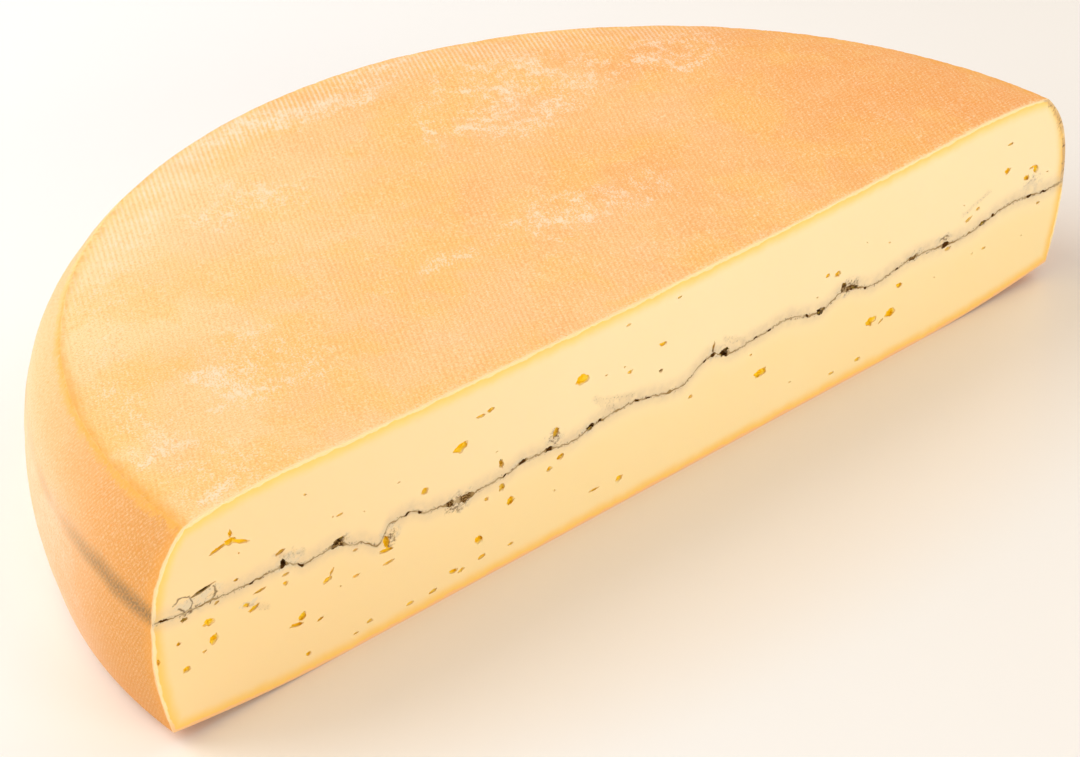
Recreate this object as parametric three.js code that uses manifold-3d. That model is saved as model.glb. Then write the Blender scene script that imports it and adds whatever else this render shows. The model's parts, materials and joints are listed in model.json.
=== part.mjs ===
// Half wheel of pressed cheese, cut through the wheel's axis, with a wavy layer of ash in its paste.
// Millimetres, +Z up. The cut face looks towards -Y, and X runs along the cut.
// The origin is the middle of the footprint, at table height.

import * as THREE from 'three';
import { mergeVertices } from 'three/addons/utils/BufferGeometryUtils.js';
import Module from 'manifold-3d';

const wasm = await Module();
wasm.setup();

// Outline of the whole wheel, by radius from its axis and height over the table
const creaseRadius = 160; // the folded pressing cloth leaves a crease where the top meets the side
const creaseHeight = 63.2;
const bulgeRadius = 171.5;
const bulgeHeight = 28;
const footRadius = 167; // lower edge of the side
const footHeight = 4; // the underside curves up to the edge by this much
const flatRadius = 109; // inside this the underside is flat
const topDish = 3.2; // the middle of the top has sunk by this much
const shoulderWidth = 34.6; // the top slopes down to the crease over this width
const shoulderDrop = 3.1;
const outOfRound = 0.024; // wider along X and narrower along Y by this share

// How the outline curves
const shoulderPower = 2.15;
const upperSidePower = 3.3; // the side leaves the crease at a slant and then turns upright
const lowerSidePower = 1.6;

// Fineness of the solid
const turnSteps = 112; // steps round the whole wheel
const dishSteps = 3;
const shoulderSteps = 5;
const upperSideSteps = 7;
const lowerSideSteps = 3;
const footSteps = 4;

// The ash layer, and the clearance between it and the paste on both sides
const ashThickness = 0.8;
const clearance = 0.3;
const ashMeanHeight = 30.5;
const settleDepth = 45; // the waves at the cut die out over this depth, and calmer ones take over
const rimRise = 11.5; // the layer climbs towards the rim on the side of -X
const rimRiseStart = 125;
const rimRiseWidth = 45;
const ashGrid = { columns: 60, rows: 7, width: 372, depth: 186, overhang: 6 };

// Height of the ash layer on the cut face, from the left rim to the right one: [place along X, height]
const ashAtCut = [
  [-176, 39], [-152, 37], [-136, 36.8], [-126, 34.3], [-115, 35], [-102, 28.4], [-93, 33.6], [-77, 29],
  [-52, 30], [-12, 31.5], [6, 28.4], [21, 33.6], [32, 31], [48, 32.3], [65, 29], [76, 32], [88, 28.6],
  [107, 31], [128, 29.2], [150, 32], [176, 30.8],
];

// Eyes and crevices that open on the cut face: [place along X, height, width, tallness, tilt in degrees]
const eyes = [
  [-154, 51.3, 8, 1.6, 8], [-147.6, 51.2, 8, 1.8, -14], [-149.8, 54.6, 2.2, 2.4, 0],
  [-159.8, 42, 9, 1.9, 4], [-158, 31.7, 3.6, 2.8, 10], [-157, 26, 3.4, 3.6, 30], [-165.8, 20.9, 2.8, 2.4, 20],
  [-134.6, 41.3, 3.8, 1.8, 10], [-134.3, 37.4, 3.2, 2.2, 0], [-119.9, 25.7, 3.4, 2.2, 25],
  [-128.9, 18.2, 3, 3, 0], [-117, 35.4, 6, 2.8, 20], [-99.6, 27.2, 2.8, 5.4, -8],
  [-73.3, 45.3, 5.4, 3.2, 15], [-86.6, 37.7, 2.8, 2, 0], [-73, 28.8, 8.4, 4.4, 0], [-67.7, 13.1, 3.2, 2.6, 0],
  [-40.2, 33, 2.6, 5.4, -15], [-38, 26.4, 3.2, 1.8, 0], [-30.2, 47.3, 4.2, 2.4, 0],
  [25.6, 32.6, 5.6, 2.8, 0], [21, 35.6, 2.6, 3.6, 0], [41, 18.9, 4.8, 3.2, 30], [65.8, 29.4, 3.2, 2.6, 0],
  [78.4, 32.2, 7.6, 4.2, 0], [88.5, 16.9, 4.2, 2.6, 0], [97.6, 15.2, 5, 3.4, 20], [100.7, 23.5, 3, 1.8, 0],
  [120.6, 31.4, 3.4, 3, 0], [159.5, 39.1, 5, 3.2, 0],
];
const eyeDepthShare = 0.7; // how far an eye goes in, as a share of its mean size
const eyeInset = 0.2; // how far behind the cut its middle lies, as a share of its depth

const pasteColour = 0xf6dca4;
const ashColour = 0x5d5a55;

function smooth(share) {
  const t = THREE.MathUtils.clamp(share, 0, 1);
  return t * t * (3 - 2 * t);
}

function shares(steps) {
  return Array.from({ length: steps }, (_, step) => (step + 1) / steps);
}

// Height of the top at a radius: dished in the middle, with a shoulder that slopes to the crease
function topHeight(radius) {
  const out = THREE.MathUtils.clamp((radius - creaseRadius + shoulderWidth) / shoulderWidth, 0, 1);
  const dish = topDish * (1 - (radius / creaseRadius) ** 2);
  return creaseHeight + shoulderDrop * (1 - out ** shoulderPower) - dish;
}

// Outline from the underside's middle, out along the foot, up the side and back over the top
function wheelOutline() {
  const points = [new THREE.Vector2(0, 0), new THREE.Vector2(flatRadius, 0)];
  for (const t of shares(footSteps)) {
    points.push(new THREE.Vector2(THREE.MathUtils.lerp(flatRadius, footRadius, t), footHeight * t * t));
  }
  for (const t of shares(lowerSideSteps)) {
    const radius = THREE.MathUtils.lerp(bulgeRadius, footRadius, (1 - t) ** lowerSidePower);
    points.push(new THREE.Vector2(radius, THREE.MathUtils.lerp(footHeight, bulgeHeight, t)));
  }
  for (const t of shares(upperSideSteps)) {
    const radius = THREE.MathUtils.lerp(bulgeRadius, creaseRadius, t ** upperSidePower);
    points.push(new THREE.Vector2(radius, THREE.MathUtils.lerp(bulgeHeight, creaseHeight, t)));
  }
  for (const t of shares(shoulderSteps)) {
    const radius = creaseRadius - shoulderWidth * t;
    points.push(new THREE.Vector2(radius, topHeight(radius)));
  }
  for (const t of shares(dishSteps)) {
    const radius = (creaseRadius - shoulderWidth) * (1 - t);
    points.push(new THREE.Vector2(radius, topHeight(radius)));
  }
  return points;
}

// Turns a geometry into a closed solid: shared corners are merged, and the slivers at the poles dropped
function solidFrom(geometry) {
  const bare = geometry.clone();
  bare.deleteAttribute('normal');
  bare.deleteAttribute('uv');
  const merged = mergeVertices(bare);
  const corners = [];
  for (let i = 0; i < merged.index.count; i += 3) {
    const [a, b, c] = [0, 1, 2].map((k) => merged.index.getX(i + k));
    if (a !== b && b !== c && c !== a) corners.push(a, b, c);
  }
  return new wasm.Manifold(new wasm.Mesh({
    numProp: 3,
    vertProperties: new Float32Array(merged.attributes.position.array),
    triVerts: new Uint32Array(corners),
  }));
}

function meshFrom(solid, name, material) {
  const { vertProperties, triVerts } = solid.getMesh();
  const geometry = new THREE.BufferGeometry();
  geometry.setAttribute('position', new THREE.BufferAttribute(vertProperties, 3));
  geometry.setIndex(new THREE.BufferAttribute(triVerts, 1));
  geometry.computeVertexNormals();
  const mesh = new THREE.Mesh(geometry, material);
  mesh.name = name;
  return mesh;
}

function wholeWheel() {
  const geometry = new THREE.LatheGeometry(wheelOutline(), turnSteps);
  geometry.rotateX(Math.PI / 2);
  geometry.scale(1 + outOfRound, 1 - outOfRound, 1);
  return solidFrom(geometry);
}

// Everything behind the cut, as a block larger than the wheel
function behindTheCut() {
  const size = 3 * bulgeRadius;
  const geometry = new THREE.BoxGeometry(size, size, size);
  geometry.translate(0, size / 2, 0);
  return solidFrom(geometry);
}

function heightAtCut(x) {
  const next = ashAtCut.findIndex(([place]) => place >= x);
  if (next < 0) return ashAtCut.at(-1)[1];
  if (next === 0) return ashAtCut[0][1];
  const [x0, z0] = ashAtCut[next - 1];
  const [x1, z1] = ashAtCut[next];
  return THREE.MathUtils.lerp(z0, z1, smooth((x - x0) / (x1 - x0)));
}

// Middle height of the ash layer anywhere in the wheel
function ashHeight(x, y) {
  const waves = 1.5 * Math.sin(x / 19 + y / 23) + 1.1 * Math.sin(y / 13 - x / 31);
  const nearRim = smooth((Math.hypot(x, y) - rimRiseStart) / rimRiseWidth);
  const towardsLeft = smooth(-x / creaseRadius);
  const inside = ashMeanHeight + waves * (1 - nearRim) + rimRise * nearRim * towardsLeft;
  return THREE.MathUtils.lerp(heightAtCut(x), inside, smooth(y / settleDepth));
}

// A block over the whole half wheel between two surfaces, each a height for every place
function blockBetween(lower, upper) {
  const { columns, rows, width, depth, overhang } = ashGrid;
  const geometry = new THREE.BoxGeometry(width, depth, 1, columns, rows, 1);
  geometry.translate(0, depth / 2 - overhang, 0);
  const place = geometry.attributes.position;
  for (let i = 0; i < place.count; i += 1) {
    const surface = place.getZ(i) > 0 ? upper : lower;
    place.setZ(i, surface(place.getX(i), place.getY(i)));
  }
  return solidFrom(geometry);
}

function eye([x, z, width, tallness, tilt]) {
  const depth = eyeDepthShare * (width + tallness) / 2;
  const geometry = new THREE.IcosahedronGeometry(1, 1);
  geometry.scale(width / 2, depth, tallness / 2);
  geometry.rotateY(-THREE.MathUtils.degToRad(tilt));
  geometry.translate(x, eyeInset * depth, z);
  return solidFrom(geometry);
}

const allEyes = eyes.map(eye).reduce((joined, one) => joined.add(one));
const halfWheel = wholeWheel().intersect(behindTheCut()).subtract(allEyes);

const underTable = () => -20;
const overTop = () => 100;
const ashUnderside = (x, y) => ashHeight(x, y) - ashThickness / 2;
const ashTop = (x, y) => ashHeight(x, y) + ashThickness / 2;
const lowerPasteTop = (x, y) => ashUnderside(x, y) - clearance;
const upperPasteUnderside = (x, y) => ashTop(x, y) + clearance;

// Each piece of paste is what is left of the half wheel once the ash and all beyond it is taken away,
// so that the facing surfaces have the same facets and keep the clearance all over
const lowerPaste = halfWheel.subtract(blockBetween(lowerPasteTop, overTop));
const ashLayer = halfWheel.intersect(blockBetween(ashUnderside, ashTop));
const upperPaste = halfWheel.subtract(blockBetween(underTable, upperPasteUnderside));

const pasteMaterial = new THREE.MeshStandardMaterial({ color: pasteColour, roughness: 0.5, metalness: 0 });
const ashMaterial = new THREE.MeshStandardMaterial({ color: ashColour, roughness: 0.9, metalness: 0 });

const cheese = new THREE.Group();
cheese.add(meshFrom(lowerPaste, 'lower_paste', pasteMaterial));
cheese.add(meshFrom(ashLayer, 'ash_layer', ashMaterial));
cheese.add(meshFrom(upperPaste, 'upper_paste', pasteMaterial));
cheese.position.y = -bulgeRadius * (1 - outOfRound) / 2;

export default cheese;
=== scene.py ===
import json
import math
import random

import bpy
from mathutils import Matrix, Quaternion, Vector, noise

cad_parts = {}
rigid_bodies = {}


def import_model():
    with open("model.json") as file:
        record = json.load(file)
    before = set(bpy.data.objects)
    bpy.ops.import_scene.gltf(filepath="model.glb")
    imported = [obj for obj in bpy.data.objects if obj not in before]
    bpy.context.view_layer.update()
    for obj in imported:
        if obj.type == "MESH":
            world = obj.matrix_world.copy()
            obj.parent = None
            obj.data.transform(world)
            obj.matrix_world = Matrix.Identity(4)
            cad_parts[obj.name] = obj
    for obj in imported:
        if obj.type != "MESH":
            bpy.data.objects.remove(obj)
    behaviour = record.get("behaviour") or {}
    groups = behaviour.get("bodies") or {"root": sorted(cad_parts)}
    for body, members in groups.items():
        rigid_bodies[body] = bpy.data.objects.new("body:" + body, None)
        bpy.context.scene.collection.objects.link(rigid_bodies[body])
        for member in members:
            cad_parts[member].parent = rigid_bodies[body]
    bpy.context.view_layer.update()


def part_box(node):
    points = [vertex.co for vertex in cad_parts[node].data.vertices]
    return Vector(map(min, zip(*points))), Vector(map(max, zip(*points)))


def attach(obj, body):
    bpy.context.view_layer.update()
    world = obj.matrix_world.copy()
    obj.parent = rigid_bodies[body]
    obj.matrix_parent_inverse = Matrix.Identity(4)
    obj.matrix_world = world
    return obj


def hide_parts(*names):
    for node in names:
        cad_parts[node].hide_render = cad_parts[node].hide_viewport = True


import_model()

# Sizes are in millimetres from the wheel's axis, which stands on the cut face at x = 0, y = 0
wheel = {
    "creaseRadius": 160, "creaseHeight": 63.2, "bulgeRadius": 171.5, "bulgeHeight": 28,
    "footRadius": 167, "footHeight": 4, "flatRadius": 109, "topDish": 3.2,
    "shoulderWidth": 34.6, "shoulderDrop": 3.1, "outOfRound": 0.024,
    "shoulderPower": 2.15, "upperSidePower": 3.3, "lowerSidePower": 1.6,
}
wide = 1 + wheel["outOfRound"]
deep = 1 - wheel["outOfRound"]
lowest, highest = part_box("lower_paste")  # this half holds the widest girth and the cut's lower edge
cutY = lowest[1]  # the cut face in the frame
mm = (highest[0] - lowest[0]) / (2 * wheel["bulgeRadius"] * wide)  # a millimetre, in the frame's unit


def put(x, y, z):
    return Vector((x * mm, cutY + y * mm, z * mm))


def clamp(value, low=0.0, high=1.0):
    return max(low, min(high, value))


def blend(low, high, share):
    return low + (high - low) * share


def smooth(value, start, end):
    t = clamp((value - start) / (end - start))
    return t * t * (3 - 2 * t)


# Selecting, and modifiers applied at once
def clearSelection():
    if bpy.context.object and bpy.context.mode != "OBJECT":
        bpy.ops.object.mode_set(mode="OBJECT")
    bpy.ops.object.select_all(action="DESELECT")


def pick(piece):
    clearSelection()
    piece.select_set(True)
    bpy.context.view_layer.objects.active = piece


def editAll(piece, kind="VERT"):
    pick(piece)
    bpy.ops.object.mode_set(mode="EDIT")
    bpy.ops.mesh.select_mode(type=kind)
    bpy.ops.mesh.select_all(action="SELECT")


def leaveEdit():
    bpy.ops.object.mode_set(mode="OBJECT")


def settle(piece):  # the piece's place goes into its mesh
    pick(piece)
    bpy.ops.object.transform_apply(location=True, rotation=True, scale=True)


def copyOf(piece, name):
    pick(piece)
    bpy.ops.object.duplicate()
    twin = bpy.context.object
    twin.name = name
    return twin


def drop(*pieces):
    for piece in pieces:
        bpy.data.objects.remove(piece, do_unlink=True)


def cutWith(piece, tool, operation):
    pick(piece)
    bpy.ops.object.modifier_add(type="BOOLEAN")
    modifier = piece.modifiers[-1]
    modifier.operation = operation
    modifier.solver = "MANIFOLD"
    if isinstance(tool, bpy.types.Collection):
        modifier.operand_type = "COLLECTION"
        modifier.collection = tool
    else:
        modifier.object = tool
    bpy.ops.object.modifier_apply(modifier=modifier.name)


# The cloth's ribs: they take numbers for the mesh or wires for the finish, so that a modelled rib and the
# bloom painted on it lie in one place
def sine(value):
    return math.sin(value) if isinstance(value, (int, float)) else value.sine()


cloth = {
    "pitch": 1.47, "lean": 30,  # the ribs' spacing, and how far their crosswise direction turns below +X
    "depth": 0.018, "patchyDepth": 0.032, "patchSize": 24,
    "fadeFrom": 50, "fadeTo": 130, "fade": 0.55,  # the share that they lose towards the left
    "rimDepth": 0.008, "rimFrom": 138,  # they are deeper towards the crease
    "swells": [(0.35, 38), (0.14, 9), (0.05, 3.1)],  # the top's unevenness: height and size
    "nibble": 0.55, "nibbleSize": 1.5, "broadNibble": 0.7, "broadNibbleSize": 5,  # how the crease is worn
    "nibbleFrom": 156,
}
leanX = math.cos(math.radians(cloth["lean"]))
leanY = -math.sin(math.radians(cloth["lean"]))


def ribWave(x, y):  # the cloth's ribs on the top, from -1 in a furrow to 1 on a rib
    drift = 0.9 * sine(x / 31 + y / 47) + 0.5 * sine(y / 19 - x / 53)
    across = (x * leanX + y * leanY) / cloth["pitch"]
    return sine(across * 2 * math.pi + drift)


# The ash layer's height and thickness, and the height of the top
ashLine = {
    # height of the ash along the cut, from the left rim to the right one
    "heights": [
        (-176, 39.4), (-164, 38.2), (-145, 37.1), (-134, 37.4), (-127, 34.3), (-117, 35.2), (-109.5, 32.2),
        (-102.8, 28.4), (-98.5, 33.2), (-92, 33.4), (-85, 30.6), (-73, 29.0), (-58, 29.5), (-52, 30.9),
        (-43, 30.5), (-34, 29.1), (-23, 31.2), (-12, 31.7), (7.5, 28.4), (20, 33.6), (30, 30.9), (38, 31.7),
        (50, 32.6), (65, 29.2), (76, 32.4), (88, 28.9), (106, 31.2), (128, 29.3), (151, 32.5), (169, 30.5),
        (176, 31),
    ],
    "meanHeight": 30.5, "settleDepth": 45, "rimRise": 11.5, "rimRiseStart": 125, "rimRiseEnd": 170,
    "waves": [(1.5, 19, 23), (1.1, -31, 13)],  # slow waves inside: height, and length along X and Y
    "ripple": 0.2, "quickRipple": 0.09,
    "halfThickness": 0.21, "thinnest": 0.07, "patchyThickness": 0.2, "patchSize": 5,
    "grainThickness": 0.16, "grainSize": 1.4, "clotThickness": 1.1, "clotSize": 2.6,
    # dark lumps of ash that show on the cut: place along X, half thickness, half length
    "lumps": [
        (-172, 0.4, 2.4), (-144.5, 0.4, 1.3), (-134.3, 1.2, 1.5), (-128.6, 0.6, 1.6), (-116.5, 1.1, 3.2),
        (-93, 0.6, 1.2), (-88.5, 0.7, 1.0), (-78, 1.3, 2.0), (-72.5, 1.7, 3.2), (-58.4, 0.5, 0.8),
        (-52, 0.8, 2.0), (-42.2, 1.1, 1.8), (-26.4, 1.2, 1.5), (-23.2, 0.8, 0.9), (-9, 0.6, 1.2),
        (-4.5, 0.4, 1.6), (17.6, 0.6, 0.9), (20.8, 0.8, 1.2), (25.6, 1.2, 2.0), (38.3, 0.45, 1.2),
        (43.9, 0.5, 1.2), (59.8, 0.8, 1.0), (65.6, 1.3, 1.5), (78, 1.2, 3.0), (84.8, 0.6, 0.9),
        (98.6, 0.5, 1.0), (105.5, 0.8, 2.6), (120.4, 1.2, 2.4), (137.3, 0.8, 1.6), (142, 0.8, 0.9),
        (159, 0.6, 1.8), (166, 0.45, 2.4),
    ],
    "lumpDepth": 3.0,
}


def ashAtCut(x):
    heights = ashLine["heights"]
    for (x0, z0), (x1, z1) in zip(heights, heights[1:]):
        if x <= x1:
            return blend(z0, z1, smooth(x, x0, x1))
    return heights[-1][1]


def ashRipple(x, y):  # the small unevenness of the layer
    slow = math.sin(x * 1.3 + 1.7 * math.sin(x * 0.53 + y * 0.4))
    quick = math.sin(x * 3.1 - y * 0.6 + 2.6 * math.sin(x * 0.37))
    return ashLine["ripple"] * slow + ashLine["quickRipple"] * quick


def ashHeight(x, y):
    form = ashLine
    waves = sum(height * math.sin(x / longX + y / longY) for height, longX, longY in form["waves"])
    nearRim = smooth(math.hypot(x, y), form["rimRiseStart"], form["rimRiseEnd"])
    towardsLeft = smooth(-x, 0, wheel["creaseRadius"])
    inside = form["meanHeight"] + waves * (1 - nearRim) + form["rimRise"] * nearRim * towardsLeft
    return blend(ashAtCut(x), inside, smooth(y, 0, form["settleDepth"])) + ashRipple(x, y)


def flatNoise(x, y, size, layer):
    return noise.noise(Vector((x / size, y / size, layer)))


def ashHalfThickness(x, y):
    form = ashLine
    thickness = form["halfThickness"] + form["patchyThickness"] * flatNoise(x, y, form["patchSize"], 3)
    thickness += form["grainThickness"] * flatNoise(x, y, form["grainSize"], 17)
    thickness += form["clotThickness"] * max(0, flatNoise(x, y, form["clotSize"], 9) - 0.3)
    for place, half, length in form["lumps"]:
        away = math.hypot((x - place) / length, y / form["lumpDepth"])
        if away < 1:
            ragged = 0.75 + 0.5 * noise.noise(Vector((x * 1.3, y * 1.3, place)))
            thickness = max(thickness, half * ragged * math.sqrt(1 - away * away))
    return max(thickness, form["thinnest"])


def roundRadius(x, y):  # distance from the axis, with the wheel's out-of-round taken out
    return math.hypot(x / wide, y / deep)


def topHeight(radius):
    out = clamp((radius - wheel["creaseRadius"]) / wheel["shoulderWidth"] + 1)
    dish = wheel["topDish"] * (1 - (radius / wheel["creaseRadius"]) ** 2)
    return wheel["creaseHeight"] + wheel["shoulderDrop"] * (1 - out ** wheel["shoulderPower"]) - dish


# The body: a side and underside spun from their outline, a top pressed with cloth, and the cut
body = {
    "spinSteps": 300, "spinTurn": 190, "overTop": 72,  # the side runs on above the top, to be cut by it
    "footStep": 6, "sideStep": 1.6, "capSteps": 6,
    "ribStep": 0.36, "alongStep": 4, "gridMargin": 9,  # the top's grid, across and along the ribs
    "blockHeight": 120,  # of the blocks that cut the body, well over its own height
    "sideLumps": 0.45, "sideLumpSize": 16, "sideGrain": 0.12, "sideGrainSize": 3.2,
    "edgeRound": 0.35, "smoothAngle": 28, "doubles": 0.001, "flatWithin": 0.02,
}


def sideOutline():
    points = [(0, 0)]
    steps = round(wheel["flatRadius"] / (2 * body["footStep"]))
    points += [(wheel["flatRadius"] * (i + 1) / steps, 0) for i in range(steps)]
    steps = round((wheel["footRadius"] - wheel["flatRadius"]) / body["footStep"])
    for i in range(steps):
        t = (i + 1) / steps
        points.append((blend(wheel["flatRadius"], wheel["footRadius"], t), wheel["footHeight"] * t * t))
    steps = round((wheel["bulgeHeight"] - wheel["footHeight"]) / body["sideStep"])
    for i in range(steps):
        t = (i + 1) / steps
        radius = blend(wheel["bulgeRadius"], wheel["footRadius"], (1 - t) ** wheel["lowerSidePower"])
        points.append((radius, blend(wheel["footHeight"], wheel["bulgeHeight"], t)))
    height = wheel["bulgeHeight"]
    rise = wheel["creaseHeight"] - wheel["bulgeHeight"]
    while height < body["overTop"]:
        height += body["sideStep"]
        inwards = ((height - wheel["bulgeHeight"]) / rise) ** wheel["upperSidePower"]
        points.append((blend(wheel["bulgeRadius"], wheel["creaseRadius"], inwards), height))
    last, height = points[-1]
    points += [(last * (1 - (i + 1) / body["capSteps"]), height) for i in range(body["capSteps"])]
    return points


def displace(piece, name, kind, size, strength, group=""):
    texture = bpy.data.textures.new(name, kind)
    texture.noise_scale = size * mm
    pick(piece)
    bpy.ops.object.modifier_add(type="DISPLACE")
    modifier = piece.modifiers[-1]
    modifier.texture = texture
    modifier.texture_coords = "GLOBAL"
    modifier.strength = strength * mm
    modifier.mid_level = 0.5
    modifier.vertex_group = group
    bpy.ops.object.modifier_apply(modifier=modifier.name)


def spinSide():
    points = sideOutline()
    bpy.ops.mesh.primitive_plane_add(size=mm, location=put(points[0][0], 0, points[0][1]))
    side = bpy.context.object
    side.name = "wheelBody"
    editAll(side)
    bpy.ops.mesh.merge(type="CENTER")
    for (r0, z0), (r1, z1) in zip(points, points[1:]):
        step = ((r1 - r0) * mm, 0, (z1 - z0) * mm)
        bpy.ops.mesh.extrude_region_move(TRANSFORM_OT_translate={"value": step})
    leaveEdit()
    turn = math.radians(body["spinTurn"])
    editAll(side)
    bpy.ops.mesh.spin(steps=body["spinSteps"], angle=-turn, center=put(0, 0, 0), axis=(0, 0, 1))
    bpy.ops.mesh.select_all(action="SELECT")
    bpy.ops.transform.rotate(value=(turn - math.pi) / 2, orient_axis="Z", center_override=put(0, 0, 0))
    bpy.ops.transform.resize(value=(wide, deep, 1), center_override=put(0, 0, 0))
    bpy.ops.mesh.remove_doubles(threshold=body["doubles"] * mm)
    bpy.ops.mesh.normals_make_consistent(inside=False)
    leaveEdit()
    settle(side)
    return side


def roughenSide(side):
    group = side.vertex_groups.new(name="skin")  # all but the underside, which stays flat
    foot = wheel["footHeight"]
    for vertex in side.data.vertices:
        group.add([vertex.index], smooth(vertex.co.z / mm, foot, 3 * foot), "REPLACE")
    displace(side, "sideLumps", "CLOUDS", body["sideLumpSize"], body["sideLumps"], "skin")
    displace(side, "sideGrain", "CLOUDS", body["sideGrainSize"], body["sideGrain"], "skin")
    side.vertex_groups.clear()


def cutThroughAxis(side):
    editAll(side, "FACE")
    bpy.ops.mesh.bisect(plane_co=put(0, 0, 0), plane_no=(0, 1, 0), use_fill=True, clear_inner=True)
    bpy.ops.mesh.select_all(action="SELECT")
    bpy.ops.mesh.remove_doubles(threshold=body["doubles"] * mm)
    bpy.ops.mesh.normals_make_consistent(inside=False)
    leaveEdit()


def topSurface(x, y):
    place = Vector((x, y, 0))
    swell = sum(height * noise.noise(place / size) for height, size in cloth["swells"])
    patchy = clamp(0.45 + 1.8 * noise.noise(place / cloth["patchSize"] + Vector((7, 0, 0)))) ** 2
    radius = roundRadius(x, y)
    towardsRim = smooth(radius, cloth["rimFrom"], wheel["creaseRadius"])
    ribs = (cloth["depth"] + cloth["patchyDepth"] * patchy + cloth["rimDepth"] * towardsRim) * ribWave(x, y)
    ribs *= 1 - cloth["fade"] * smooth(-x, cloth["fadeFrom"], cloth["fadeTo"])
    broadly = abs(noise.noise(place / cloth["broadNibbleSize"] + Vector((0, 3, 0))))
    worn = abs(noise.noise(place / cloth["nibbleSize"])) + cloth["broadNibble"] * broadly
    worn *= cloth["nibble"] * smooth(radius, cloth["nibbleFrom"], wheel["creaseRadius"] + 1)
    return topHeight(radius) + swell + ribs - worn


def newGrid(name, columns, rows):
    bpy.ops.mesh.primitive_grid_add(
        x_subdivisions=columns, y_subdivisions=rows, size=1, location=put(0, 0, 0))
    grid = bpy.context.object
    grid.name = name
    return grid


def extrudeAll(piece, height):  # all faces move up by that height and draw walls after them
    editAll(piece, "FACE")
    bpy.ops.mesh.extrude_region_move(TRANSFORM_OT_translate={"value": (0, 0, height * mm)})
    leaveEdit()


def faceOutwards(piece):
    editAll(piece, "FACE")
    bpy.ops.mesh.normals_make_consistent(inside=False)
    leaveEdit()


def topBlock():  # a block under the top's surface, on a grid that is fine across the ribs
    reach = 2 * (wheel["bulgeRadius"] + body["gridMargin"])
    block = newGrid("topBlock", round(reach / body["ribStep"]), round(reach / body["alongStep"]))
    block.scale = (reach * mm, reach * mm, 1)
    block.rotation_euler.z = math.radians(-cloth["lean"])
    settle(block)
    extrudeAll(block, -body["blockHeight"])
    for vertex in block.data.vertices:
        if vertex.co.z > -body["blockHeight"] * mm / 2:
            x, y = vertex.co.x / mm, (vertex.co.y - cutY) / mm
            vertex.co = put(x, y, topSurface(x, y))
    faceOutwards(block)
    return block


def pressTop(side):
    block = topBlock()
    cutWith(side, block, "INTERSECT")
    drop(block)


def onCut(face):
    return face.normal.y < -0.9 and abs(face.center.y - cutY) < body["flatWithin"] * mm


def roundCutEdge(piece):
    editAll(piece, "FACE")
    bpy.ops.mesh.select_all(action="DESELECT")
    leaveEdit()
    for face in piece.data.polygons:
        face.select = onCut(face)
    bpy.ops.object.mode_set(mode="EDIT")
    bpy.ops.mesh.region_to_loop()
    bpy.ops.mesh.bevel(offset=body["edgeRound"] * mm, segments=1, affect="EDGES", clamp_overlap=True)
    leaveEdit()


ashGrid = {
    "columns": 704, "rows": 34, "width": 372, "depth": 188, "grading": 2.3,
    "front": 1.5,  # how far the grid starts in front of the cut face
    "reach": 0.997,  # the ash ends at this share of the radius, just inside the rind
    "through": 1,  # how far the slot runs out through the cut face, so that no skin is left over it
}


def sheetGrid(name, height):  # an open grid at a height that x and y give, its rows closest near the cut
    form = ashGrid
    sheet = newGrid(name, form["columns"], form["rows"])
    settle(sheet)
    for vertex in sheet.data.vertices:
        across = vertex.co.x * form["width"]
        back = clamp(vertex.co.y - cutY + 0.5) ** form["grading"] * form["depth"] - form["front"]
        vertex.co = put(across, back, height(across, back))
    return sheet


def ashBlockAbove():
    block = sheetGrid("aboveAsh", ashHeight)
    extrudeAll(block, body["blockHeight"])
    faceOutwards(block)
    return block


def ashSheet():
    sheet = sheetGrid("ashSheet", lambda x, y: ashHeight(x, y) + ashHalfThickness(x, y))
    extrudeAll(sheet, body["blockHeight"])
    for vertex in sheet.data.vertices:
        if vertex.co.z > body["blockHeight"] * mm / 2:  # the raised copy becomes the lower face
            x, y = vertex.co.x / mm, (vertex.co.y - cutY) / mm
            vertex.co.z = (ashHeight(x, y) - ashHalfThickness(x, y)) * mm
    faceOutwards(sheet)
    return sheet


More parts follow.
